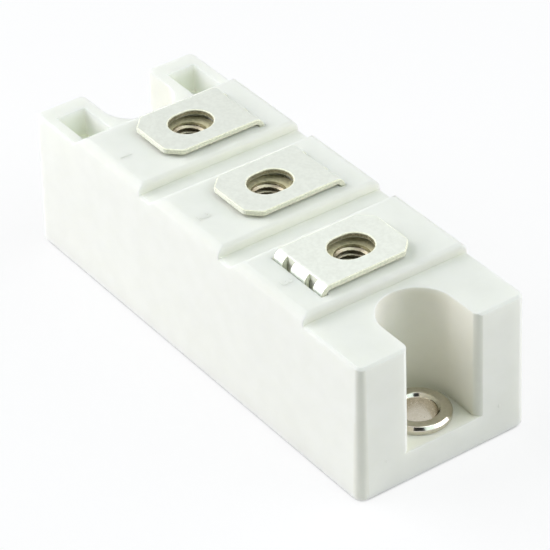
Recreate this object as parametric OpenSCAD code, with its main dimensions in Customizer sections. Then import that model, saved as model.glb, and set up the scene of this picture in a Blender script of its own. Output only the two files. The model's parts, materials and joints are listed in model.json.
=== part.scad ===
// Power diode module: a moulded housing on a metal baseplate, with three screw terminals in a row.
// The origin is the centre of the mounting face. X runs along the module and Z points up.

/* [Housing] */
// Length of the housing at its lower rim
body_l = 94; // [90:1:104]
// Width of the housing at its lower rim
body_w = 34; // [32:0.5:40]
// Height of the deck, which is the top of the end posts and of the valleys
deck_z = 26.3; // [24:0.1:32]
// Draft angle of the outer walls, in degrees
draft = 1.1; // [0.3:0.1:2]
// Radius of the upright corners at the rim
corner_r = 1.8; // [1.6:0.1:3]
// Bevel on the deck's outer edges
deck_bevel = 0.4; // [0.2:0.1:0.6]
// Height of the lower rim above the mounting face
rim_z = 0.5; // [0.2:0.1:1]
// Thickness of the walls around the inner space
wall = 2.2; // [1.6:0.1:3]
// Thickness of the roof between the inner spaces and the deck
roof = 2.2; // [1.6:0.1:3]

/* [Terminal platforms] */
// Distance along the module from a mounting hole to the next terminal
terminal_end = 17; // [16.5:0.5:19]
// Height of a platform above the deck
platform_h = 2; // [1.2:0.1:3]
// Length of the flat valley between two platforms
valley_l = 3.1; // [2:0.1:4]
// Length of the ramp on the connector side of each platform
ramp_l = 2.3; // [1:0.1:3]
// Radius between the ramp and the platform's top
ramp_r = 1.5; // [0.5:0.1:2]
// Radius of the ledge on the other side of each platform
ledge_r = 0.8; // [0.3:0.1:1.1]
// Radius of the platform's long shoulders
shoulder_r = 2; // [1:0.1:3]

/* [End slots] */
// Distance from the end of the housing to the mounting hole
hole_end = 7; // [6.5:0.1:8]
// Width of the end slots
slot_w = 13.5; // [13:0.5:16]
// Radius of the slot's upright edges at its mouth
mouth_r = 1.5; // [0.5:0.1:2]
// Thickness of the slot floor above the baseplate
slot_floor = 3.1; // [1.5:0.1:5]

/* [Connector pockets] */
// Wall between a pocket and the end of the housing
pocket_end_wall = 3.8; // [2:0.1:5]
// Wall between a pocket and the side of the housing
pocket_side_wall = 2.2; // [1.4:0.1:3]
// Web between a pocket and the end slot
pocket_web = 2; // [1.2:0.1:2.5]
// Depth of a pocket below the deck
pocket_depth = 5.4; // [4.5:0.1:12]

/* [Baseplate] */
// Thickness of the baseplate
plate_t = 3; // [2:0.1:4]
// Distance of the baseplate's edge from the outside of the rim
plate_inset = 1.6; // [1.2:0.1:2.5]
// Corner radius of the baseplate
plate_corner_r = 3; // [1:0.5:5]
// Gap between the baseplate and the rim around it
plate_gap = 0.1; // [0.05:0.05:0.3]

/* [Mounting bushes] */
// Diameter of the mounting hole
bush_bore = 6.5; // [5.5:0.1:7]
// Outer diameter of a bush where it passes the slot floor and the baseplate
bush_tube = 8.5; // [8:0.1:9.5]
// Diameter of a bush's flange
bush_flange = 11.4; // [10.5:0.1:12.5]
// Thickness of a bush's flange
bush_flange_t = 1.3; // [1.1:0.1:2]
// Bevel on the flange's outer edge
bush_bevel = 0.5; // [0.1:0.1:0.5]
// Bevel on the upper edge of the mounting hole
bush_bore_bevel = 0.5; // [0.1:0.1:0.5]
// Gap between a bush and the holes that it passes through
bush_gap = 0.1; // [0.05:0.05:0.3]

/* [Terminals] */
// Width of a terminal tab
tab_w = 13.2; // [12:0.1:14]
// Thickness of the terminal sheet
tab_t = 1; // [0.8:0.1:1.5]
// Gap between a tab and the platform below it
tab_gap = 0.5; // [0.1:0.1:1]
// Distance from the screw axis to the free end of the tab
tab_reach = 8.1; // [7:0.1:10]
// Distance from the screw axis to the outer face of the folded leg
fold_y = 11; // [10.5:0.1:12]
// Inner radius of the folds
fold_r = 0.8; // [0.5:0.1:1.2]
// Size of the cut corners at the free end
tab_corner = 2.4; // [1:0.1:3]
// Radius at both ends of a cut corner
tab_corner_r = 1; // [0.3:0.1:1.5]
// Width of the slotted hole, along the module
tab_hole_w = 6.6; // [6:0.1:7]
// Length of the slotted hole, across the module
tab_hole_l = 8.1; // [7:0.1:9]
// Distance of the slotted hole's middle from the screw axis, towards the fold
tab_hole_shift = 0.3; // [0:0.1:0.6]
// Width of the relief slots across the fold
relief_w = 2; // [1:0.1:2.5]
// Distance between the two relief slots
relief_pitch = 6; // [4:0.1:7]
// How far the relief slots reach over the tab, from the leg's outer face
relief_reach = 1.1; // [0.5:0.1:2.5]
// How far the relief slots run down the leg, below the platform
relief_drop = 2; // [1:0.1:3]
// Width of a leg inside the housing
leg_w = 8; // [5:0.5:10]
// Length of a leg's foot, measured from the leg's outer face
foot_l = 4.2; // [3:0.1:5]
// Gap between a leg and the opening that it passes through
leg_gap = 0.1; // [0.05:0.05:0.5]

/* [Terminal nuts] */
// Width of a nut across its flats
nut_af = 10; // [9:0.1:11]
// Height of a nut
nut_h = 5; // [4:0.1:6]
// Radius of a nut's threaded hole, at the crests of the thread
thread_r = 2.5; // [2:0.1:3]
// Bevel at both ends of the threaded hole
thread_bevel = 0.5; // [0.1:0.1:0.8]
// Distance of a nut's top below the platform
nut_sink = 0.5; // [0.1:0.1:2]
// Gap between a nut and its pocket
nut_gap = 0.1; // [0.05:0.05:0.3]
// Depth of the screw's well below a nut
well_depth = 4; // [2:0.5:6]
// Radius of the screw's well
well_r = 3.4; // [3.1:0.1:4]
// Wall around a nut's pocket and below its well
boss_wall = 1.5; // [1:0.1:2]

/* [Inside] */
// Thickness of the copper below the ceramic
back_copper_t = 0.3; // [0.2:0.05:0.5]
// Thickness of the ceramic
ceramic_t = 0.7; // [0.4:0.05:1]
// Thickness of the copper tracks
track_t = 0.4; // [0.2:0.05:0.6]
// Gap between the ceramic and the walls of the inner space
ceramic_gap = 0.8; // [0.3:0.1:2]
// Bare border of the ceramic around the copper
copper_margin = 1; // [0.5:0.1:2]
// Gap between neighbouring tracks
track_gap = 1.2; // [0.6:0.1:1.6]
// Width of the track that runs past the middle terminal
runner_w = 5; // [3:0.5:6]
// Side length of a diode chip
die_w = 9; // [6:0.5:10]
// Thickness of a diode chip
die_t = 0.4; // [0.2:0.05:0.6]
// Diameter of the buffer disc on a chip
buffer_d = 7.6; // [5:0.1:8]
// Thickness of the buffer disc
buffer_t = 0.6; // [0.3:0.1:1]
// Thickness of the copper connectors
connector_t = 0.6; // [0.3:0.1:1]
// Width of the copper connectors
connector_w = 6; // [4:0.5:7]
// Length of a connector's seat on its track
landing_l = 3; // [2:0.5:4]
// Gap between a connector and the edge of its track or the next foot
landing_gap = 0.5; // [0.3:0.1:1]
// Height of the gel's surface above the mounting face
gel_z = 12; // [9:0.5:15]

/* [Hidden] */
$fn = 64;
// How far a cut runs past the face that it opens
over = 1;
// How far a rounding stands past the face that it meets, to meet it in a clean edge
dip = 0.03;

// Heights of the housing and of what stands on it
platform_z = deck_z + platform_h;
block_z = platform_z + over;
tab_bottom_z = platform_z + tab_gap;
tab_top_z = tab_bottom_z + tab_t;
slot_floor_z = plate_t + slot_floor;
roof_z = deck_z - roof;
nut_top_z = platform_z - nut_sink;
nut_bottom_z = nut_top_z - nut_h;
well_z = nut_bottom_z - well_depth;

// Places along the module
hole_pitch = body_l - 2 * hole_end;
pitch = hole_pitch / 2 - terminal_end;
platform_l = pitch - ramp_l - valley_l;

// Heights of the layers inside
ceramic_z = plate_t + back_copper_t;
track_z = ceramic_z + ceramic_t;
die_z = track_z + track_t;
buffer_z = die_z + die_t;
connector_z = buffer_z + buffer_t;

// Half sizes of the inner space, the ceramic and the copper
space_x = hole_pitch / 2 - slot_w / 2 - wall;
space_y = wall_at(body_w / 2, roof_z) - wall;
ceramic_x = space_x - ceramic_gap;
ceramic_y = space_y - ceramic_gap;
copper_x = ceramic_x - copper_margin;
copper_y = ceramic_y - copper_margin;

// Edges of the tracks, each the middle of a gap between two of them
split_x = pitch / 2;
split_y = runner_w - copper_y + track_gap / 2;
corner_x = pitch - leg_w / 2 - track_gap;
corner_y = landing_l + 2 * landing_gap + foot_l - fold_y + track_gap / 2;

// Places of the chips
die_1_y = (split_y + track_gap / 2 + fold_y - foot_l) / 2;
die_2_y = (corner_y + track_gap / 2 + copper_y) / 2;

// Distance of an outer wall from the module's middle, at a height
function wall_at(half, z) = half - tan(draft) * (z - rim_z);

// Place of a terminal along the module
function terminal_x(number) = (number - 2) * pitch;

// Draw a section in X and Z, and stretch it along Y
module along_y(length) rotate([90, 0, 0]) linear_extrude(length, center = true) children();

// Draw a section in Y and Z, and stretch it along X
module along_x(length) rotate([90, 0, 90]) linear_extrude(length, center = true) children();

// Put a piece at a terminal: the third terminal is turned round, so it folds at the front
module at_terminal(number) {
    translate([terminal_x(number), 0, 0])
        rotate(number == 3 ? 180 : 0)
            children();
}

// One half of the block's section, from its middle plane outwards, higher than the platforms
function block_half(half) = [
    [0, rim_z], [half, rim_z], [wall_at(half, block_z), block_z], [0, block_z]
];

// One half of the deck's section, whose bevelled edge runs out past the wall
function deck_half(half) = [
    [0, deck_z - 2 * deck_bevel], [wall_at(half, deck_z) + deck_bevel, deck_z - 2 * deck_bevel],
    [wall_at(half, deck_z) - deck_bevel, deck_z], [0, deck_z]
];

// Whole section from one of its halves
module both_halves(points) {
    polygon(points);
    mirror([1, 0]) polygon(points);
}

// Stretch one section between the end walls and one between the long walls, and turn a third at the corners
module with_corners(end_half, side_half, corner_half) {
    straight_x = body_l / 2 - corner_r;
    straight_y = body_w / 2 - corner_r;
    along_y(2 * straight_y) both_halves(end_half);
    along_x(2 * straight_x) both_halves(side_half);
    for (side_x = [-1, 1], side_y = [-1, 1])
        translate([side_x * straight_x, side_y * straight_y, 0])
            rotate_extrude() polygon(corner_half);
}

// Section of one platform along the module: a ramp, a flat top and a steep ledge
module platform_section() {
    ramp_angle = atan(platform_h / ramp_l);
    ramp_top = -platform_l / 2;
    ramp_foot = ramp_top - ramp_l;
    ledge = platform_l / 2;
    round_x = ramp_top + ramp_r * tan(ramp_angle / 2);
    root_z = deck_z - roof / 2;
    root_x = ramp_foot - (deck_z - root_z) / tan(ramp_angle);
    polygon([
        [root_x, root_z],
        [round_x - ramp_r * sin(ramp_angle), platform_z - ramp_r + ramp_r * cos(ramp_angle)],
        [round_x, platform_z], [ledge - ledge_r, platform_z],
        [ledge, platform_z - ledge_r], [ledge, root_z]
    ]);
    translate([round_x, platform_z - ramp_r]) circle(ramp_r);
    translate([ledge - ledge_r, platform_z - ledge_r]) circle(ledge_r);
}

// Section of the block across the module below its rounded shoulders
module shoulder_section() {
    centre_z = platform_z - shoulder_r + dip;
    centre_y = wall_at(body_w / 2, centre_z) - shoulder_r + dip;
    outside_y = body_w / 2 + over;
    translate([-outside_y, 0]) square([2 * outside_y, centre_z]);
    translate([-centre_y, 0]) square([2 * centre_y, block_z + over]);
    for (side = [-1, 1])
        translate([side * centre_y, centre_z])
            circle(shoulder_r);
}

// Waste above the ends of the deck, its valleys and the platforms
module deck_waste() {
    bottom_z = deck_z - 2 * deck_bevel;
    difference() {
        along_y(body_w + 2 * over)
            difference() {
                translate([-body_l / 2 - over, bottom_z])
                    square([body_l + 2 * over, block_z + over - bottom_z]);
                for (number = [1:3])
                    translate([terminal_x(number), 0])
                        platform_section();
            }
        with_corners(deck_half(body_l / 2), deck_half(body_w / 2), deck_half(corner_r));
    }
}

// Outer form of the housing
module outer_form() {
    difference() {
        intersection() {
            with_corners(block_half(body_l / 2), block_half(body_w / 2), block_half(corner_r));
            along_x(body_l + 2 * over) shoulder_section();
        }
        deck_waste();
    }
}

// Space of an end slot at the near end, open at the end and at the top
module end_slot() {
    slot_h = platform_z + over - slot_floor_z;
    translate([0, 0, slot_floor_z]) {
        translate([hole_pitch / 2, 0, 0]) cylinder(slot_h, d = slot_w);
        translate([hole_pitch / 2, -slot_w / 2, 0])
            cube([body_l / 2 + over - hole_pitch / 2, slot_w, slot_h]);
    }
    for (side = [-1, 1])
        intersection() {
            translate([body_l / 2, 0, rim_z])
                rotate([0, -draft, 0])
                    linear_extrude(platform_z + over)
                        mouth_rounding(side);
            translate([0, -body_w / 2, slot_floor_z])
                cube([body_l, body_w, slot_h]);
        }
}

// Waste outside the rounded edge of a slot's mouth, seen from above
module mouth_rounding(side) {
    centre = mouth_r - dip;
    difference() {
        translate([-centre, side > 0 ? slot_w / 2 - over : -slot_w / 2 - centre])
            square([centre + over, centre + over]);
        translate([-centre, side * (slot_w / 2 + centre)])
            circle(mouth_r);
    }
}

// Space beside an end slot, between the end wall and the foot of the outer ramp
module post_space(bottom_z, top_z) {
    inner_x = pitch + platform_l / 2 + ramp_l;
    outer_x = wall_at(body_l / 2, deck_z) - pocket_end_wall;
    inner_y = slot_w / 2 + pocket_web;
    outer_y = wall_at(body_w / 2, deck_z) - pocket_side_wall;
    for (side = [-1, 1])
        translate([inner_x, side > 0 ? inner_y : -outer_y, bottom_z])
            cube([outer_x - inner_x, outer_y - inner_y, top_z - bottom_z]);
}

// Space for the baseplate, the substrate and the legs
module inner_space() {
    translate([-space_x, -space_y, plate_t - over])
        cube([2 * space_x, 2 * space_y, roof_z - plate_t + over]);
}

// Pocket of one nut with the screw's well below it
module nut_pocket() {
    pocket_af = nut_af + 2 * nut_gap;
    translate([0, 0, nut_bottom_z])
        cylinder(platform_z - nut_bottom_z + over, d = pocket_af / cos(30), $fn = 6);
    translate([0, 0, well_z])
        cylinder(nut_h, r = well_r);
}

// Solid boss around a nut pocket, hanging from the roof
module nut_boss() {
    boss_r = (nut_af / 2 + nut_gap) / cos(30) + boss_wall;
    translate([0, 0, well_z - boss_wall])
        cylinder(roof_z + over - well_z + boss_wall, r = boss_r);
}

// Opening in the roof for one folded leg
module leg_opening() {
    translate([-tab_w / 2 - leg_gap, fold_y - tab_t - leg_gap, roof_z - over])
        cube([tab_w + 2 * leg_gap, tab_t + 2 * leg_gap, platform_z - roof_z + 2 * over]);
}

// Rounded outline of the baseplate, grown by a gap
module plate_outline(gap) {
    half_x = body_l / 2 - plate_inset - plate_corner_r;
    half_y = body_w / 2 - plate_inset - plate_corner_r;
    radius = plate_corner_r + gap;
    square([2 * half_x, 2 * (half_y + radius)], center = true);
    square([2 * (half_x + radius), 2 * half_y], center = true);
    for (side_x = [-1, 1], side_y = [-1, 1])
        translate([side_x * half_x, side_y * half_y])
            circle(radius);
}

// Holes for the two bushes
module bush_holes() {
    for (side = [-1, 1])
        translate([side * hole_pitch / 2, 0, -over])
            cylinder(slot_floor_z + 2 * over, d = bush_tube + 2 * bush_gap);
}

module housing() {
    color("whitesmoke") difference() {
        outer_form();
        end_slot();
        mirror([1, 0, 0]) end_slot();
        mirror([1, 0, 0]) post_space(deck_z - pocket_depth, platform_z + over);
        post_space(plate_t - over, roof_z);
        linear_extrude(plate_t) plate_outline(plate_gap);
        difference() {
            inner_space();
            for (number = [1:3]) at_terminal(number) nut_boss();
        }
        for (number = [1:3]) at_terminal(number) {
            nut_pocket();
            leg_opening();
        }
        bush_holes();
    }
}

module baseplate() {
    color("silver") difference() {
        linear_extrude(plate_t) plate_outline(0);
        bush_holes();
    }
}

module mounting_bush(side) {
    bore_r = bush_bore / 2;
    tube_r = bush_tube / 2;
    flange_r = bush_flange / 2;
    top_z = slot_floor_z + bush_flange_t;
    color("lightgray")
        translate([side * hole_pitch / 2, 0, 0])
            rotate_extrude()
                polygon([
                    [bore_r, 0], [tube_r, 0], [tube_r, slot_floor_z], [flange_r, slot_floor_z],
                    [flange_r, top_z - bush_bevel], [flange_r - bush_bevel, top_z],
                    [bore_r + bush_bore_bevel, top_z], [bore_r, top_z - bush_bore_bevel]
                ]);
}

// Quarter of a bent sheet, from the first to the second quadrant's axis
module sheet_bend() {
    intersection() {
        difference() {
            circle(fold_r + tab_t);
            circle(fold_r);
        }
        square(fold_r + tab_t);
    }
}

// Section of a terminal across the module: tab, fold, leg, fold and foot
module terminal_section() {
    outer_r = fold_r + tab_t;
    bend_y = fold_y - outer_r;
    top_bend_z = tab_top_z - outer_r;
    foot_bend_z = die_z + outer_r;
    translate([-tab_reach, tab_bottom_z]) square([tab_reach + bend_y, tab_t]);
    translate([bend_y, top_bend_z]) sheet_bend();
    translate([fold_y - tab_t, foot_bend_z]) square([tab_t, top_bend_z - foot_bend_z]);
    translate([bend_y, foot_bend_z]) mirror([0, 1]) sheet_bend();
    translate([fold_y - foot_l, die_z]) square([bend_y - fold_y + foot_l, tab_t]);
}

// One half of a tab from above, with a cut corner at its free end that runs into both edges in an arc
module tab_half() {
    half = tab_w / 2;
    cut_angle = 45;
    cut_x = half - tab_corner;
    cut_y = tab_corner - tab_reach;
    trim = tab_corner_r * tan(cut_angle / 2);
    slant = trim * cos(cut_angle);
    polygon([
        [0, fold_y], [half, fold_y], [half, cut_y + trim], [half - slant, cut_y - slant],
        [cut_x + slant, slant - tab_reach], [cut_x - trim, -tab_reach], [0, -tab_reach]
    ]);
    translate([half - tab_corner_r, cut_y + trim]) circle(tab_corner_r);
    translate([cut_x - trim, tab_corner_r - tab_reach]) circle(tab_corner_r);
}

// Outline of a tab from above
module tab_outline() {
    tab_half();
    mirror([1, 0]) tab_half();
}

// Slotted hole of a tab from above
module tab_hole() {
    straight = tab_hole_l - tab_hole_w;
    translate([0, tab_hole_shift]) {
        square([tab_hole_w, straight], center = true);
        for (side = [-1, 1])
            translate([0, side * straight / 2])
                circle(d = tab_hole_w);
    }
}

// Relief slots across the upper fold
module relief_slots() {
    bottom_z = platform_z - relief_drop;
    for (side = [-1, 1])
        translate([side * relief_pitch / 2 - relief_w / 2, fold_y - relief_reach, bottom_z])
            cube([relief_w, relief_reach + over, tab_top_z + over - bottom_z]);
}

module terminal(number) {
    color("gainsboro")
        at_terminal(number)
            difference() {
                intersection() {
                    along_x(tab_w) terminal_section();
                    union() {
                        translate([0, 0, roof_z]) linear_extrude(tab_top_z) tab_outline();
                        translate([-leg_w / 2, 0, 0]) cube([leg_w, fold_y, roof_z]);
                    }
                }
                translate([0, 0, platform_z]) linear_extrude(tab_top_z) tab_hole();
                relief_slots();
            }
}

module terminal_nut(number) {
    corner = nut_af / 2 / cos(30);
    flat = nut_af / 2;
    chamfer = (corner - flat) * tan(30);
    opening_r = thread_r + thread_bevel;
    color("silver")
        at_terminal(number)
            translate([0, 0, nut_bottom_z])
                intersection() {
                    cylinder(nut_h, r = corner, $fn = 6);
                    rotate_extrude()
                        polygon([
                            [opening_r, 0], [flat, 0], [corner, chamfer],
                            [corner, nut_h - chamfer], [flat, nut_h], [opening_r, nut_h],
                            [thread_r, nut_h - thread_bevel], [thread_r, thread_bevel]
                        ]);
                }
}

// Rectangle between two opposite corners
module patch(low, high) translate(low) square(high - low);

module back_copper() {
    color("peru")
        translate([0, 0, plate_t])
            linear_extrude(back_copper_t)
                square([2 * copper_x, 2 * copper_y], center = true);
}

module ceramic_substrate() {
    color("ivory")
        translate([0, 0, ceramic_z])
            linear_extrude(ceramic_t)
                square([2 * ceramic_x, 2 * ceramic_y], center = true);
}

// Track of the first terminal, which runs past the second to the chip near the third
module joint_track() {
    half = track_gap / 2;
    patch([-copper_x, -copper_y], [-split_x - half, copper_y]);
    patch([-split_x - half, -copper_y], [split_x + half, split_y - half]);
    patch([split_x + half, -copper_y], [corner_x - half, copper_y]);
    patch([corner_x - half, corner_y + half], [copper_x, copper_y]);
}

module copper_track(number) {
    half = track_gap / 2;
    color("peru")
        translate([0, 0, track_z])
            linear_extrude(track_t) {
                if (number == 1) joint_track();
                if (number == 2) patch([half - split_x, split_y + half], [split_x - half, copper_y]);
                if (number == 3) patch([corner_x + half, -copper_y], [copper_x, corner_y - half]);
            }
}

// Place of a chip: the first is near the second terminal, and the second near the third
module at_die(number) {
    translate([terminal_x(number + 1), number == 1 ? die_1_y : die_2_y, 0])
        children();
}

module diode_die(number) {
    color("dimgray")
        at_die(number)
            translate([-die_w / 2, -die_w / 2, die_z])
                cube([die_w, die_w, die_t]);
}

module die_buffer(number) {
    color("slategray")
        at_die(number)
            translate([0, 0, buffer_z])
                cylinder(buffer_t, d = buffer_d);
}

// Bridge from a chip's buffer down to a track; reach is from the chip's middle to the track's edge
module connector_section(reach) {
    start = -buffer_d / 2;
    step = reach + landing_gap;
    top_z = connector_z + connector_t;
    polygon([
        [start, connector_z], [step, connector_z], [step, die_z], [step + landing_l, die_z],
        [step + landing_l, die_z + connector_t], [step + connector_t, die_z + connector_t],
        [step + connector_t, top_z], [start, top_z]
    ]);
}

module die_connector(number) {
    half = track_gap / 2;
    color("chocolate")
        at_die(number) {
            if (number == 1)
                rotate(180) along_y(connector_w) connector_section(split_x + half);
            else
                rotate(-90) along_y(connector_w) connector_section(die_2_y - corner_y + half);
        }
}

module gel_filling() {
    color("lightcyan") difference() {
        translate([-space_x, -space_y, plate_t])
            cube([2 * space_x, 2 * space_y, gel_z - plate_t]);
        back_copper();
        ceramic_substrate();
        for (number = [1:3]) {
            copper_track(number);
            terminal(number);
        }
        for (number = [1:2]) {
            diode_die(number);
            die_buffer(number);
            die_connector(number);
        }
    }
}

housing();
baseplate();
mounting_bush(1);  // mounting_bush_near
mounting_bush(-1);  // mounting_bush_far
terminal(1);  // terminal_1
terminal(2);  // terminal_2
terminal(3);  // terminal_3
terminal_nut(1);  // terminal_nut_1
terminal_nut(2);  // terminal_nut_2
terminal_nut(3);  // terminal_nut_3
back_copper();
ceramic_substrate();
copper_track(1);  // copper_track_1
copper_track(2);  // copper_track_2
copper_track(3);  // copper_track_3
diode_die(1);  // diode_die_1
diode_die(2);  // diode_die_2
die_buffer(1);  // die_buffer_1
die_buffer(2);  // die_buffer_2
die_connector(1);  // die_connector_1
die_connector(2);  // die_connector_2
gel_filling();
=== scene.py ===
"""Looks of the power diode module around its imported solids: rounded pieces, finishes, studio and camera.

Every length is in metres, in the frame of the solids: X along the module, Z up, mounting face at Z = 0.
"""
import json
import math

import bmesh
import bpy
from mathutils import Matrix, Vector


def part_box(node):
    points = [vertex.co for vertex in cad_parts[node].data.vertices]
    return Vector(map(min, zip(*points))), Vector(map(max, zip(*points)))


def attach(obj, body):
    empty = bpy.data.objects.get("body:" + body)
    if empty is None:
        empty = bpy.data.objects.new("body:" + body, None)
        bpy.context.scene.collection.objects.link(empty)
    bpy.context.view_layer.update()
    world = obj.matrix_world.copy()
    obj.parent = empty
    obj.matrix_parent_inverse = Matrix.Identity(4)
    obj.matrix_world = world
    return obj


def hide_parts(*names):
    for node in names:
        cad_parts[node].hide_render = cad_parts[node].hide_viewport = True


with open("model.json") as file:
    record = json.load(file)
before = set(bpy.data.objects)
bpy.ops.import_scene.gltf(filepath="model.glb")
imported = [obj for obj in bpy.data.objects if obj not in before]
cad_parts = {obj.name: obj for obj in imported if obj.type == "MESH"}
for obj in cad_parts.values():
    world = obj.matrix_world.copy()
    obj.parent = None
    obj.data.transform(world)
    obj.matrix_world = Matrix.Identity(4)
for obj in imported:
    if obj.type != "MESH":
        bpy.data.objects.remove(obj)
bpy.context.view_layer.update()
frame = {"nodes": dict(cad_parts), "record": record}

MM = 0.001
NODES = frame["nodes"]
MOUNTS = {mount["name"]: mount for mount in frame["record"]["mounts"]}
TERMINALS = (1, 2, 3)
DIODES = (1, 2)

# Camera of the photograph, with its angles in degrees
CAMERA_AIM = (-3.84 * MM, 3.44 * MM, 7.12 * MM)
CAMERA_DISTANCE = 522.56 * MM
CAMERA_AZIMUTH = 55.079
CAMERA_ELEVATION = 35.693
CAMERA_ROLL = -1.7255
CAMERA_LENS = 200.15
CAMERA_SENSOR = 36.0
CAMERA_CLIP = 10.0 * MM

# Hollows and near upright corners of the housing, which mark the faces whose colour is painted lighter in the
# pockets and painted darker as shade in the slot and at the corners
DECK_Z = 26.3 * MM
PLATFORM_Z = 28.3 * MM
SLOT_FLOOR_Z = 6.1 * MM
SLOT_START_X = 33.0 * MM
SLOT_END_X = 46.2 * MM
SLOT_SIDE_Y = 7.0 * MM
CORNER_X = 45.4 * MM
CORNER_TURN = 0.12
POCKET_FLOOR_Z = 20.9 * MM
POCKET_START_X = 34.0 * MM
POCKET_END_X = 42.8 * MM
POCKET_SIDE_Y = 8.7 * MM
POCKET_WALL_Y = 14.4 * MM

# Rounding of the moulded, stamped and milled edges, where a face has room for so many widths
WELD = 0.004 * MM
FLAT_ANGLE = math.radians(0.5)
EDGE_ANGLE = math.radians(28.0)
CHAMFER_ANGLE = math.radians(62.0)
CHAMFER_WIDTH = 0.75 * MM
ROUND_SEGMENTS = 2
ROUND_PROFILE = 0.5
ROUND_ROOM = 2.0
HOUSING_EDGE = 0.2 * MM
SHEET_EDGE = 0.2 * MM
PLATE_EDGE = 0.2 * MM

# Folded sheet of the terminals
SHEET_T = 1.0 * MM
BEND_R = 1.8 * MM
PUNCHED_X = 5.0 * MM

# Least part of a normal along the axis that a face looks along, and most along Z for an upright face
FACING = 0.9
UPRIGHT = 0.5

# Turned rings, and bushes among them
RING_WELD = 0.001 * MM
BUSH_SEGMENTS = 128
BUSH_TUBE_R = 4.25 * MM
BUSH_FLANGE = 1.3 * MM
BUSH_BEVEL = 0.5 * MM
BUSH_EDGE = 0.06 * MM
BORE_LIMIT_R = 3.26 * MM
TURNED_ANGLE = math.radians(10.0)

# Terminal nuts and their metric thread, whose bevel, painted dark as a reflection of the hole's wall, has a
# normal between two parts along Z
NUT_SEGMENTS = 96
NUT_CHAMFER = math.radians(30.0)
NUT_LEAD = 0.1 * MM
THREAD_PITCH = 1.0 * MM
THREAD_DEPTH = 0.5 * MM
THREAD_STEPS = 16
THREAD_CREST = 0.25
THREAD_ROOT = 0.12
BEVEL_LOW = 0.6
BEVEL_HIGH = 0.78

# Moulded terminal numbers
FIGURE_Y = -13.2 * MM
FIGURE_SIZE = 3.2 * MM
FIGURE_RISE = 0.012 * MM
FIGURE_EDGE = 0.03 * MM
FIGURE_EDGE_STEPS = 1

# Small moulding marks on the near end, as places and as half lengths
GATE_MARKS = ((46.87 * MM, -11.5 * MM, 6.3 * MM), (46.87 * MM, 11.3 * MM, 6.5 * MM))
GATE_MARK_SIZE = (0.06 * MM, 0.25 * MM, 0.45 * MM)
GATE_MARK_SEGMENTS = 24
GATE_MARK_RINGS = 12

# Noise of the finishes: the parts of its range that colour and gloss use, and how much finer the relief is
NOISE_DETAIL = 3.0
COLOUR_RANGE = (0.35, 0.65)
GLOSS_RANGE = (0.3, 0.7)
RELIEF_FINER = 3.0

# Moulded plastic: its spread of colour, its surface, and the depth that light enters it
PLASTIC_SPREAD = 0.02
PLASTIC_GRAIN = 4.0 * MM
PLASTIC_ROUGHNESS = (0.60, 0.70)
PLASTIC_RELIEF = 0.004 * MM
PLASTIC_SHINE = 0.1
LIGHT_DEPTH = 1.5 * MM
POCKET_LIGHT_DEPTH = 4.0 * MM

# Tin plating, with the brightness of each tab
TIN_LOW = (0.70, 0.73, 0.67)
TIN_HIGH = (0.745, 0.775, 0.715)
TIN_TONES = (0.99, 1.015, 1.065)
TIN_GRAIN = 0.6 * MM
TIN_ROUGHNESS = (0.34, 0.44)
TIN_RELIEF = 0.004 * MM

# Soft lamps as names, azimuths, elevations, powers and colours, and a dark flag
STUDIO_CENTRE = Vector((0.0, 0.0, 15.0 * MM))
LAMP_DISTANCE = 0.8
LAMP_SIZE = 0.8
SOFTBOXES = (
    ("left_softbox", -46.0, 30.0, 7.85, (1.0, 1.0, 1.05)),
    ("right_softbox", 146.0, 20.0, 4.15, (1.07, 0.99, 1.05)),
    ("high_softbox", 122.0, 60.0, 3.1, (0.83, 1.0, 1.0)),
)
FLAG_AZIMUTH = 72.0
FLAG_ELEVATION = 40.0
FLAG_DISTANCE = 0.9
FLAG_SIZE = (1.2, 0.75)

# Floor, whose middle is off the object, so that the seam between its two triangles stays out of sight
FLOOR_SIZE = (6.0, 6.0)
FLOOR_MIDDLE = (1.0, 0.0, 0.0)
FLOOR_COLOUR = (0.95, 0.95, 0.95, 1.0)
SHADOW_SHARE = 0.18

# Contact shade of the floor, where less than a share of the sky above it is open
CONTACT_REACH = 2.0 * MM
CONTACT_OPEN = 0.4
CONTACT_SHADE = 0.1


def look_from(azimuth, elevation):
    """Unit vector towards a place, with azimuth 0 at -Y and turning towards +X, in degrees."""
    turn = math.radians(azimuth)
    rise = math.radians(elevation)
    return Vector((math.sin(turn) * math.cos(rise), -math.cos(turn) * math.cos(rise), math.sin(rise)))


def add_object(name, data):
    """New object of the scene."""
    item = bpy.data.objects.new(name, data)
    bpy.context.scene.collection.objects.link(item)
    return item


# Camera

def add_camera():
    """Camera at the photograph's place, with its small roll."""
    data = bpy.data.cameras.new("photo_camera")
    data.lens = CAMERA_LENS
    data.sensor_width = CAMERA_SENSOR
    data.clip_start = CAMERA_CLIP
    camera = add_object("photo_camera", data)
    back = look_from(CAMERA_AZIMUTH, CAMERA_ELEVATION)
    level = (-back).to_track_quat("-Z", "Y").to_matrix().to_4x4()
    roll = Matrix.Rotation(math.radians(CAMERA_ROLL), 4, "Z")
    camera.matrix_world = Matrix.Translation(Vector(CAMERA_AIM) + back * CAMERA_DISTANCE) @ level @ roll
    bpy.context.scene.camera = camera


add_camera()


# Material helpers

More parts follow.
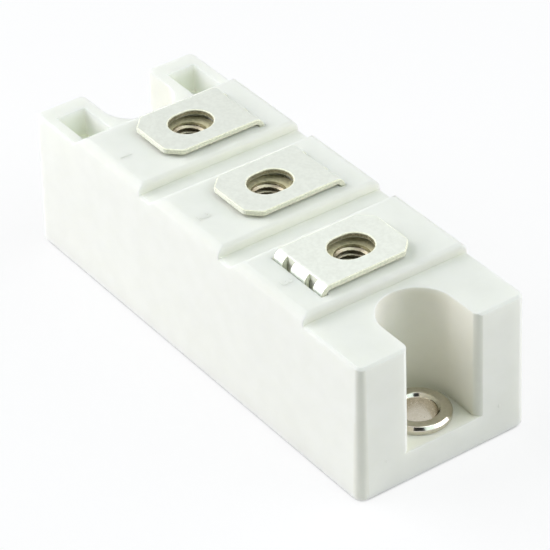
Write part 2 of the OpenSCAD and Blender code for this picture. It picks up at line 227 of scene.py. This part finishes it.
class Finish:
    """A node material that is built up from a Principled shader."""

    def __init__(self, name):
        self.material = bpy.data.materials.new(name)
        self.material.use_nodes = True
        self.nodes = self.material.node_tree.nodes
        self.links = self.material.node_tree.links
        self.shader = self.nodes["Principled BSDF"]

    def set(self, **values):
        """Set sockets of the shader by their names, with _ for a space."""
        for name, value in values.items():
            self.shader.inputs[name.replace("_", " ")].default_value = value

    def add(self, kind, **inputs):
        """Add a node and set its sockets."""
        node = self.nodes.new(kind)
        for name, value in inputs.items():
            node.inputs[name.replace("_", " ")].default_value = value
        return node

    def link(self, source, target):
        """Join an output to an input."""
        self.links.new(source, target)

    def noise(self, size, stretch):
        """Noise with features of about that size, in object coordinates stretched along the axes."""
        coordinates = self.add("ShaderNodeTexCoord")
        mapping = self.add("ShaderNodeMapping", Scale=stretch)
        texture = self.add("ShaderNodeTexNoise", Scale=1.0 / size, Detail=NOISE_DETAIL)
        self.link(coordinates.outputs["Object"], mapping.inputs["Vector"])
        self.link(mapping.outputs["Vector"], texture.inputs["Vector"])
        return texture.outputs["Fac"]

    def ramp(self, factor, low, high):
        """Colour between two ends, driven by a factor."""
        node = self.add("ShaderNodeValToRGB")
        for element, position, colour in zip(node.color_ramp.elements, COLOUR_RANGE, (low, high)):
            element.position = position
            element.color = (*colour, 1.0)
        self.link(factor, node.inputs["Fac"])
        return node.outputs["Color"]

    def level(self, factor, low, high):
        """Number between two ends, driven by a factor."""
        start, end = GLOSS_RANGE
        node = self.add("ShaderNodeMapRange", From_Min=start, From_Max=end, To_Min=low, To_Max=high)
        self.link(factor, node.inputs["Value"])
        return node.outputs["Result"]

    def bump(self, height, distance):
        """Fine relief, driven by a height."""
        node = self.add("ShaderNodeBump", Strength=1.0, Distance=distance)
        self.link(height, node.inputs["Height"])
        self.link(node.outputs["Normal"], self.shader.inputs["Normal"])


def plain_finish(name, low, high, size, roughness, relief, stretch=(1.0, 1.0, 1.0), **sockets):
    """Finish whose colour and gloss follow a noise of a grain size, with a finer relief and other sockets."""
    finish = Finish(name)
    finish.set(**sockets)
    grain = finish.noise(size, stretch)
    finish.link(finish.ramp(grain, low, high), finish.shader.inputs["Base Color"])
    finish.link(finish.level(grain, *roughness), finish.shader.inputs["Roughness"])
    finish.bump(finish.noise(size / RELIEF_FINER, stretch), relief)
    return finish.material


def metal_finish(*looks, **options):
    """Plain finish of a metal."""
    return plain_finish(*looks, Metallic=1.0, **options)


def moulded_finish(name, low, light_share=1.0, light_depth=LIGHT_DEPTH):
    """White moulded plastic, which a share of the light enters down to a depth."""
    high = [part + PLASTIC_SPREAD for part in low]
    return plain_finish(
        name, low, high, PLASTIC_GRAIN, PLASTIC_ROUGHNESS, PLASTIC_RELIEF,
        Specular_IOR_Level=PLASTIC_SHINE, Subsurface_Weight=light_share, Subsurface_Scale=light_depth,
        Subsurface_Radius=(1.0, 1.0, 1.0))


def tin_finish(number, tone):
    """Satin tin of one tab, with its brightness."""
    low = [part * tone for part in TIN_LOW]
    high = [part * tone for part in TIN_HIGH]
    return metal_finish(f"satin_tin_plate_{number}", low, high, TIN_GRAIN, TIN_ROUGHNESS, TIN_RELIEF)


# Finishes of the housing

HOUSING_PLASTIC = moulded_finish("moulded_white_plastic", (0.89, 0.89, 0.805))
# Pocket faces: colour painted lighter than the housing as light, and light enters them deeper
POCKET_PLASTIC_PAINTED_LIGHT = moulded_finish("pocket_plastic_painted_lighter", (0.91, 0.94, 0.83), light_depth=POCKET_LIGHT_DEPTH)
# Slot faces: colour painted darker and yellower as the slot's shade
SLOT_PLASTIC_PAINTED_SHADE = moulded_finish("slot_plastic_painted_shade", (0.875, 0.86, 0.755))
# Near corner faces: colour painted darker as shade, and less light enters them
CORNER_PLASTIC_PAINTED_SHADE = moulded_finish("corner_plastic_painted_shade", (0.87, 0.865, 0.765), light_share=0.3)
MOULDED_FIGURE = moulded_finish("moulded_white_figure", (0.89, 0.89, 0.805), light_share=0.0)

# Finishes of the terminals

TIN_PLATES = {number: tin_finish(number, tone) for number, tone in zip(TERMINALS, TIN_TONES)}
CUT_EDGE = metal_finish(
    "sheared_sheet_edge", (0.66, 0.67, 0.57), (0.80, 0.81, 0.70), 0.35 * MM, (0.80, 0.95), 0.03 * MM)
# Relief notch walls: a pale, not metallic colour painted lighter than the sheet as light
RELIEF_NOTCH_PAINTED_LIGHT = plain_finish(
    "relief_notch_painted_lighter", (0.88, 0.89, 0.75), (0.95, 0.96, 0.83), 0.35 * MM, (0.60, 0.75), 0.02 * MM)
# Punched hole wall: colour painted darker and more olive than the sheared edges as the hole's shade
PUNCHED_WALL_PAINTED_SHADE = metal_finish(
    "punched_wall_painted_shade", (0.40, 0.38, 0.26), (0.66, 0.62, 0.47), 0.3 * MM, (0.40, 0.55), 0.03 * MM)

# Finishes of the bushes, the nuts and the baseplate

NICKEL_PLATE = metal_finish(
    "bright_nickel_plate", (0.64, 0.60, 0.52), (0.70, 0.66, 0.58), 0.5 * MM, (0.10, 0.16), 0.002 * MM)
# Bush bores: colour painted darker than the nickel as the bore's shade, with a rougher surface
BORE_PAINTED_SHADE = metal_finish(
    "bush_bore_painted_shade", (0.61, 0.57, 0.47), (0.67, 0.63, 0.53), 0.5 * MM, (0.18, 0.28), 0.003 * MM)
NUT_STEEL = metal_finish(
    "plated_nut_steel", (0.33, 0.29, 0.21), (0.43, 0.39, 0.29), 0.5 * MM, (0.34, 0.46), 0.003 * MM)
# Upper nut bevel: colour painted near black as a dark reflection of the hole's wall
NUT_BEVEL_PAINTED_DARK = metal_finish(
    "nut_bevel_painted_reflection", (0.11, 0.10, 0.05), (0.18, 0.16, 0.09), 0.5 * MM, (0.45, 0.60), 0.003 * MM)
# Upward nut faces: colour painted lighter than the thread as light
NUT_TOP_PAINTED_LIGHT = metal_finish(
    "nut_top_painted_lighter", (0.53, 0.50, 0.34), (0.70, 0.66, 0.48), 0.5 * MM, (0.70, 0.85), 0.003 * MM)
PLATED_COPPER = metal_finish(
    "plated_base_copper", (0.60, 0.58, 0.54), (0.68, 0.66, 0.62), 1.2 * MM, (0.28, 0.40), 0.004 * MM,
    stretch=(1.0, 6.0, 6.0))
# Upright plate sides: colour painted darker than the plating as shade near the floor
PLATE_SIDE_PAINTED_SHADE = metal_finish(
    "plate_side_painted_shade", (0.27, 0.26, 0.23), (0.34, 0.33, 0.30), 0.8 * MM, (0.55, 0.70), 0.01 * MM)

# Finishes of the inner circuit

BARE_COPPER = metal_finish(
    "bare_copper", (0.66, 0.36, 0.22), (0.76, 0.46, 0.30), 1.0 * MM, (0.25, 0.40), 0.003 * MM)
CERAMIC = plain_finish(
    "unglazed_ceramic", (0.84, 0.83, 0.79), (0.90, 0.89, 0.86), 0.8 * MM, (0.55, 0.70), 0.005 * MM)
SILICON = plain_finish(
    "passivated_silicon", (0.10, 0.11, 0.13), (0.15, 0.16, 0.19), 2.0 * MM, (0.12, 0.22), 0.001 * MM)
BUFFER_METAL = metal_finish(
    "rolled_buffer_metal", (0.40, 0.41, 0.43), (0.50, 0.51, 0.53), 0.7 * MM, (0.30, 0.45), 0.003 * MM)
SOFT_GEL = plain_finish(
    "clear_soft_gel", (0.78, 0.84, 0.84), (0.84, 0.89, 0.89), 3.0 * MM, (0.06, 0.14), 0.004 * MM)


# Mesh helpers

def new_piece(name, mesh, materials, slot, *replaced):
    """Piece of the object that may stand for solids, with its finishes; its slot is not used."""
    piece = add_object(name, mesh)
    for material in materials:
        mesh.materials.append(material)
    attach(piece, "root")
    if replaced:
        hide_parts(*replaced)


def mesh_from(form, name):
    """Mesh of a form, which is used up."""
    mesh = bpy.data.meshes.new(name)
    form.to_mesh(mesh)
    form.free()
    return mesh


def smooth_by_angle(mesh, angle):
    """Smooth shading, apart from the edges that turn by more than an angle."""
    mesh.shade_smooth()
    mesh.set_sharp_from_angle(angle=angle)


def clean_form(node):
    """Editable copy of a solid's mesh, welded and without the seams inside its flat faces."""
    form = bmesh.new()
    form.from_mesh(NODES[node].data)
    bmesh.ops.remove_doubles(form, verts=form.verts, dist=WELD)
    bmesh.ops.dissolve_limit(form, angle_limit=FLAT_ANGLE, verts=form.verts, edges=form.edges)
    return form


def reach(edge, face):
    """How far a face reaches away from one of its edges."""
    start = edge.verts[0].co
    along = (edge.verts[1].co - start).normalized()
    return max((vertex.co - start).cross(along).length for vertex in face.verts)


def is_sharp(edge):
    """True for a sharp outer edge."""
    return len(edge.link_faces) == 2 and edge.is_convex and edge.calc_face_angle() > EDGE_ANGLE


def is_chamfer(face):
    """True for a narrow slanted face between two outer edges."""
    slanted = [edge for edge in face.edges if is_sharp(edge) and edge.calc_face_angle() < CHAMFER_ANGLE]
    return len(slanted) > 1 and min(reach(edge, face) for edge in slanted) < CHAMFER_WIDTH


def takes_rounding(edge, width):
    """True for a sharp outer edge between two faces that are wide enough for it."""
    return is_sharp(edge) and min(reach(edge, face) for face in edge.link_faces) > ROUND_ROOM * width


def round_edges(form, width):
    """Round the sharp outer edges of a form, and return the new faces with the chamfers that it had."""
    chamfers = {face for face in form.faces if is_chamfer(face)}
    edges = [
        edge for edge in form.edges
        if takes_rounding(edge, width) and chamfers.isdisjoint(edge.link_faces)]
    made = bmesh.ops.bevel(
        form, geom=edges, offset=width, offset_type="OFFSET", segments=ROUND_SEGMENTS,
        profile=ROUND_PROFILE, affect="EDGES", clamp_overlap=False, material=-1)
    return chamfers.union(made["faces"])


def mean_normal(faces):
    """Normal of some faces, each by its size."""
    total = Vector()
    for face in faces:
        total += face.normal * face.calc_area()
    return total.normalized()


def corner_normal(vertex, face, rounded):
    """Normal of a face at one of its corners: wide faces stay as they were, rounded ones run between them."""
    old = [other for other in vertex.link_faces if other not in rounded]
    if not old:
        return mean_normal(vertex.link_faces)
    nearest = face
    if face in rounded:
        nearest = min(old, key=lambda other: other.normal.angle(face.normal, 0.0))
    return mean_normal([other for other in old if other.normal.angle(nearest.normal, 0.0) < EDGE_ANGLE])


def finished_mesh(form, name, rounded):
    """Mesh of a form whose new faces blend into the faces beside them."""
    form.normal_update()
    normals = [corner_normal(loop.vert, face, rounded) for face in form.faces for loop in face.loops]
    mesh = mesh_from(form, name)
    mesh.shade_smooth()
    mesh.normals_split_custom_set(normals)
    return mesh


def rounded_copy(node, name, width, slot, materials, side, rim=None):
    """Copy of a solid with rounded edges: side gives each face its finish, and rim the rounded faces."""
    form = clean_form(node)
    for face in form.faces:
        face.material_index = side(face)
    rounded = round_edges(form, width)
    if rim is not None:
        for face in rounded:
            face.material_index = rim
    new_piece(name, finished_mesh(form, name, rounded), materials, slot, node)


def ring_mesh(name, axis_x, outlines):
    """Closed ring about an upright axis, through outlines of (radius, height) points at even turns."""
    form = bmesh.new()
    columns = []
    for step, outline in enumerate(outlines):
        angle = 2.0 * math.pi * step / len(outlines)
        points = [(axis_x + math.cos(angle) * radius, math.sin(angle) * radius, z) for radius, z in outline]
        columns.append([form.verts.new(point) for point in points])
    for step, column in enumerate(columns):
        after = columns[(step + 1) % len(columns)]
        for low in range(len(column)):
            high = (low + 1) % len(column)
            form.faces.new((column[low], after[low], after[high], column[high]))
    bmesh.ops.remove_doubles(form, verts=form.verts, dist=RING_WELD)
    bmesh.ops.recalc_face_normals(form, faces=form.faces)
    return mesh_from(form, name)


# Housing

OUTSIDE, POCKET, SLOT, CORNER = range(4)


def is_corner(middle, turn):
    """True for a face of the near upright corners that look to the front, by its middle and its normal."""
    slanted = turn.x > CORNER_TURN and turn.y < -CORNER_TURN and abs(turn.z) < CORNER_TURN
    return middle.x > CORNER_X and slanted


def is_pocket(middle):
    """True for a place inside the connector pockets of the far end."""
    lengthwise = -POCKET_END_X < middle.x < -POCKET_START_X
    across = POCKET_SIDE_Y < abs(middle.y) < POCKET_WALL_Y
    return lengthwise and across and middle.z > POCKET_FLOOR_Z - HOUSING_EDGE


def is_slot(middle):
    """True for a place inside the near slot."""
    return SLOT_START_X < middle.x < SLOT_END_X and abs(middle.y) < SLOT_SIDE_Y


def housing_side(face):
    """Finish of a face of the moulding, by its place: the pockets are painted lighter as light, and the slot
    and the near corners are painted darker as shade.
    """
    middle = face.calc_center_median()
    if is_corner(middle, face.normal):
        return CORNER
    if not SLOT_FLOOR_Z - HOUSING_EDGE <= middle.z <= DECK_Z - HOUSING_EDGE:
        return OUTSIDE
    if is_pocket(middle):
        return POCKET
    return SLOT if is_slot(middle) else OUTSIDE


rounded_copy(
    "housing", "housing_moulding", HOUSING_EDGE, "housing_plastic",
    (HOUSING_PLASTIC, POCKET_PLASTIC_PAINTED_LIGHT, SLOT_PLASTIC_PAINTED_SHADE, CORNER_PLASTIC_PAINTED_SHADE), housing_side)


# Baseplate

LEVEL_SIDE, UPRIGHT_SIDE = range(2)


def plate_side(face):
    """Finish of a face of the plate, by its turn: the upright sides are painted darker as shade."""
    return UPRIGHT_SIDE if abs(face.normal.z) < UPRIGHT else LEVEL_SIDE


rounded_copy(
    "baseplate", "milled_baseplate", PLATE_EDGE, "plated_copper", (PLATED_COPPER, PLATE_SIDE_PAINTED_SHADE), plate_side)


# Terminals

PLATED, RIM, PUNCHED, RELIEF = range(4)


def sheet_side(face, axis_x, fold_side, fold_y, sheet_z):
    """Finish of a face of a folded sheet, by its place and its turn."""
    middle = face.calc_center_median()
    towards_fold = middle.y * fold_side
    on_flat = towards_fold < fold_y - BEND_R and middle.z > sheet_z
    slot_end = face.normal.y * fold_side > FACING and towards_fold < fold_y - SHEET_T / 2.0
    upright = on_flat and abs(face.normal.z) < UPRIGHT
    if not (abs(face.normal.x) > FACING or slot_end or upright):
        return PLATED
    if abs(middle.x - axis_x) > PUNCHED_X:
        return RIM
    return PUNCHED if abs(towards_fold) < PUNCHED_X else RELIEF


def folded_terminal(number):
    """Tab whose rounded rims have a finish of their own, whose punched wall is painted darker as shade, and
    whose relief notches are painted lighter as light.
    """
    node = f"terminal_{number}"
    low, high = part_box(node)
    axis_x = (low.x + high.x) / 2.0
    fold_side = 1.0 if high.y > -low.y else -1.0
    fold_y = max(high.y, -low.y)
    rounded_copy(
        node, f"folded_terminal_{number}", SHEET_EDGE, "tinned_copper",
        (TIN_PLATES[number], CUT_EDGE, PUNCHED_WALL_PAINTED_SHADE, RELIEF_NOTCH_PAINTED_LIGHT),
        lambda face: sheet_side(face, axis_x, fold_side, fold_y, high.z - SHEET_T), RIM)


for number in TERMINALS:
    folded_terminal(number)


# Bushes

OUTER, BORE = range(2)


def softened(outline, corners, size):
    """Outline with some of its corners cut back, by their places in the list."""
    points = []
    for place, corner in enumerate(outline):
        if place not in corners:
            points.append(corner)
            continue
        here = Vector(corner)
        for other in (outline[place - 1], outline[(place + 1) % len(outline)]):
            points.append(tuple(here + (Vector(other) - here).normalized() * size))
    return points


def bush_outline(flange_r, top_z):
    """Section of a bush as (radius, height) points, from the bore's foot outwards, softened on the flange."""
    bore_r = MOUNTS["mounting_holes"]["dims"]["hole_r_mm"] * MM
    flange_z = top_z - BUSH_FLANGE
    tube = [(bore_r, 0.0), (BUSH_TUBE_R, 0.0), (BUSH_TUBE_R, flange_z)]
    flange = [
        (flange_r, flange_z), (flange_r, top_z - BUSH_BEVEL), (flange_r - BUSH_BEVEL, top_z),
        (bore_r + BUSH_BEVEL, top_z), (bore_r, top_z - BUSH_BEVEL),
    ]
    outline = tube + flange
    return softened(outline, range(len(tube), len(outline)), BUSH_EDGE)


def turned_bush(end):
    """Flanged bush whose bore has a finish of its own, painted darker as shade and rougher."""
    node = f"mounting_bush_{end}"
    name = f"turned_bush_{end}"
    low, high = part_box(node)
    axis = Vector(((low.x + high.x) / 2.0, 0.0))
    outline = bush_outline((high.x - low.x) / 2.0, high.z)
    mesh = ring_mesh(name, axis.x, [outline] * BUSH_SEGMENTS)
    smooth_by_angle(mesh, TURNED_ANGLE)
    for face in mesh.polygons:
        face.material_index = BORE if (face.center.xy - axis).length < BORE_LIMIT_R else OUTER
    new_piece(name, mesh, (NICKEL_PLATE, BORE_PAINTED_SHADE), "plated_steel", node)


for end in ("near", "far"):
    turned_bush(end)


# Threaded nuts

THREAD, UPPER, BEVEL = range(3)


def thread_radius(turn, z, crest_r):
    """Radius of an internal thread at a turn (0 to 1) and a height: crests, slanted flanks and roots."""
    phase = (z / THREAD_PITCH - turn) % 1.0
    from_crest = abs(phase - 0.5) * 2.0
    rise = (from_crest - THREAD_CREST) / (1.0 - THREAD_CREST - THREAD_ROOT)
    return crest_r + THREAD_DEPTH * min(1.0, max(0.0, rise))


def hexagon_radius(angle, flat_r):
    """Distance of a hexagon's outline from its middle, with a corner at angle 0."""
    sixth = math.pi / 3.0
    return flat_r / math.cos(angle % sixth - sixth / 2.0)


def nut_outline(turn, flat_r, bottom_z, top_z, crest_r):
    """Section of a nut at a turn (0 to 1) as (radius, height) points, up its thread and down its outside."""
    height = top_z - bottom_z
    rows = int(round(height / THREAD_PITCH)) * THREAD_STEPS
    outline = []
    for row in range(rows + 1):
        z = bottom_z + height * row / rows
        depth = min(z - bottom_z, top_z - z)
        countersink = crest_r + THREAD_DEPTH + NUT_LEAD - depth
        outline.append((max(thread_radius(turn, z, crest_r), countersink), z))
    corner_r = hexagon_radius(2.0 * math.pi * turn, flat_r)
    drop = (corner_r - flat_r) * math.tan(NUT_CHAMFER)
    outline += [(flat_r, top_z), (corner_r, top_z - drop)]
    outline += [(corner_r, bottom_z + drop), (flat_r, bottom_z)]
    return outline


def nut_side(face):
    """Finish of a face of a nut, by its turn: upward faces are painted lighter as light, and the bevel is
    painted dark as a reflection of the hole's wall.
    """
    if face.normal.z > FACING:
        return UPPER
    return BEVEL if BEVEL_LOW < face.normal.z < BEVEL_HIGH else THREAD


def threaded_nut(number):
    """Hexagonal nut with a cut thread, a countersink at both ends and chamfered corners."""
    node = f"terminal_nut_{number}"
    name = f"threaded_nut_{number}"
    low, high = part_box(node)
    flat_r = (high.y - low.y) / 2.0
    crest_r = MOUNTS[f"terminal_{number}_screw"]["dims"]["r_mm"] * MM
    turns = [step / NUT_SEGMENTS for step in range(NUT_SEGMENTS)]
    outlines = [nut_outline(turn, flat_r, low.z, high.z, crest_r) for turn in turns]
    mesh = ring_mesh(name, (low.x + high.x) / 2.0, outlines)
    smooth_by_angle(mesh, EDGE_ANGLE)
    for face in mesh.polygons:
        face.material_index = nut_side(face)
    new_piece(name, mesh, (NUT_STEEL, NUT_TOP_PAINTED_LIGHT, NUT_BEVEL_PAINTED_DARK), "plated_steel", node)


for number in TERMINALS:
    threaded_nut(number)


# Moulded terminal numbers

def moulded_number(number):
    """Low raised figure on a platform, from a text curve."""
    low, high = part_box(f"terminal_{number}")
    curve = bpy.data.curves.new(f"figure_{number}", "FONT")
    curve.body = str(number)
    curve.size = FIGURE_SIZE
    curve.align_x = "CENTER"
    curve.align_y = "CENTER"
    curve.extrude = FIGURE_RISE
    curve.bevel_depth = FIGURE_EDGE
    curve.bevel_resolution = FIGURE_EDGE_STEPS
    curve.offset = -FIGURE_EDGE
    helper = add_object(f"figure_{number}", curve)
    helper.location = ((low.x + high.x) / 2.0, FIGURE_Y, PLATFORM_Z)
    bpy.context.view_layer.update()
    solid = helper.evaluated_get(bpy.context.evaluated_depsgraph_get())
    mesh = bpy.data.meshes.new_from_object(solid)
    mesh.transform(helper.matrix_world)
    bpy.data.objects.remove(helper)
    new_piece(f"moulded_number_{number}", mesh, (MOULDED_FIGURE,), "housing_plastic")


for number in TERMINALS:
    moulded_number(number)


# Moulding marks

def moulding_mark(name, place):
    """Low oval mark on the near end."""
    form = bmesh.new()
    matrix = Matrix.Translation(place) @ Matrix.Diagonal((*GATE_MARK_SIZE, 1.0))
    bmesh.ops.create_uvsphere(
        form, u_segments=GATE_MARK_SEGMENTS, v_segments=GATE_MARK_RINGS, radius=1.0, matrix=matrix)
    mesh = mesh_from(form, name)
    mesh.shade_smooth()
    new_piece(name, mesh, (MOULDED_FIGURE,), "housing_plastic")


for number, place in enumerate(GATE_MARKS, 1):
    moulding_mark(f"moulding_mark_{number}", place)


# Inner nodes, which keep their solids and get finishes

INNER_FINISHES = {
    "back_copper": BARE_COPPER,
    "ceramic_substrate": CERAMIC,
    "gel_filling": SOFT_GEL,
}
for number in TERMINALS:
    INNER_FINISHES[f"copper_track_{number}"] = BARE_COPPER
for number in DIODES:
    INNER_FINISHES[f"diode_die_{number}"] = SILICON
    INNER_FINISHES[f"die_buffer_{number}"] = BUFFER_METAL
    INNER_FINISHES[f"die_connector_{number}"] = BARE_COPPER
for node, material in INNER_FINISHES.items():
    NODES[node].data.materials.clear()
    NODES[node].data.materials.append(material)


# Studio

def turned_to_centre(place, axis):
    """Turn of a thing that points one of its axes at the middle of the studio."""
    return (STUDIO_CENTRE - place).to_track_quat(axis, "Y")


def add_softbox(name, azimuth, elevation, power, colour):
    """Square soft lamp that looks at the object."""
    data = bpy.data.lights.new(name, "AREA")
    data.shape = "SQUARE"
    data.size = LAMP_SIZE
    data.energy = power
    data.color = colour
    lamp = add_object(name, data)
    lamp.location = STUDIO_CENTRE + look_from(azimuth, elevation) * LAMP_DISTANCE
    lamp.rotation_euler = turned_to_centre(lamp.location, "-Z").to_euler()


def seen_rays(nodes, links):
    """Output that is 1 for rays from the camera, from mirrors and through clear pieces, else 0."""
    path = nodes.new("ShaderNodeLightPath")
    seen = path.outputs["Is Camera Ray"]
    for kind in ("Is Glossy Ray", "Is Transmission Ray"):
        either = nodes.new("ShaderNodeMath")
        either.operation = "MAXIMUM"
        links.new(seen, either.inputs[0])
        links.new(path.outputs[kind], either.inputs[1])
        seen = either.outputs["Value"]
    return seen


def add_world():
    """White surroundings that are seen and mirrored, and leave the lighting to the lamps."""
    world = bpy.data.worlds.new("studio")
    bpy.context.scene.world = world
    world.use_nodes = True
    nodes = world.node_tree.nodes
    links = world.node_tree.links
    background = nodes["Background"]
    background.inputs["Color"].default_value = (1.0, 1.0, 1.0, 1.0)
    links.new(seen_rays(nodes, links), background.inputs["Strength"])


def add_sheet(name, size, matrix, material):
    """Flat rectangle of the studio."""
    form = bmesh.new()
    bmesh.ops.create_grid(form, x_segments=1, y_segments=1, size=0.5)
    mesh = mesh_from(form, name)
    mesh.materials.append(material)
    sheet = add_object(name, mesh)
    sheet.matrix_world = matrix @ Matrix.Diagonal((*size, 1.0, 1.0))
    return sheet


def contact_shade(nodes, links):
    """Output that is 1 on the open floor and falls where the object stands close over it."""
    contact = nodes.new("ShaderNodeAmbientOcclusion")
    contact.inputs["Distance"].default_value = CONTACT_REACH
    shade = nodes.new("ShaderNodeMapRange")
    shade.inputs["From Max"].default_value = CONTACT_OPEN
    shade.inputs["To Min"].default_value = CONTACT_SHADE
    links.new(contact.outputs["AO"], shade.inputs["Value"])
    return shade.outputs["Result"]


def add_floor():
    """Pale floor that is white to the camera and in mirrors, and keeps a share of the object's shadow."""
    material = bpy.data.materials.new("pale_floor")
    material.use_nodes = True
    nodes = material.node_tree.nodes
    links = material.node_tree.links
    nodes.remove(nodes["Principled BSDF"])
    diffuse = nodes.new("ShaderNodeBsdfDiffuse")
    diffuse.inputs["Color"].default_value = FLOOR_COLOUR
    glow = nodes.new("ShaderNodeEmission")
    links.new(contact_shade(nodes, links), glow.inputs["Strength"])
    share = nodes.new("ShaderNodeMapRange")
    share.inputs["To Max"].default_value = 1.0 - SHADOW_SHARE
    links.new(seen_rays(nodes, links), share.inputs["Value"])
    mix = nodes.new("ShaderNodeMixShader")
    links.new(share.outputs["Result"], mix.inputs["Fac"])
    links.new(diffuse.outputs["BSDF"], mix.inputs[1])
    links.new(glow.outputs["Emission"], mix.inputs[2])
    links.new(mix.outputs["Shader"], nodes["Material Output"].inputs["Surface"])
    add_sheet("floor", FLOOR_SIZE, Matrix.Translation(FLOOR_MIDDLE), material)


def add_flag():
    """Dark card that shows in the metal, unseen by the camera and without a shadow."""
    place = STUDIO_CENTRE + look_from(FLAG_AZIMUTH, FLAG_ELEVATION) * FLAG_DISTANCE
    turn = turned_to_centre(place, "Z").to_matrix().to_4x4()
    cloth = plain_finish("flag_cloth", (0.01, 0.01, 0.01), (0.02, 0.02, 0.02), 5.0 * MM, (0.9, 1.0), 0.1 * MM)
    flag = add_sheet("dark_flag", FLAG_SIZE, Matrix.Translation(place) @ turn, cloth)
    flag.visible_camera = False
    flag.visible_transmission = False
    flag.visible_shadow = False


add_world()
add_floor()
for softbox in SOFTBOXES:
    add_softbox(*softbox)
add_flag()

bpy.context.scene.view_settings.view_transform = "Standard"
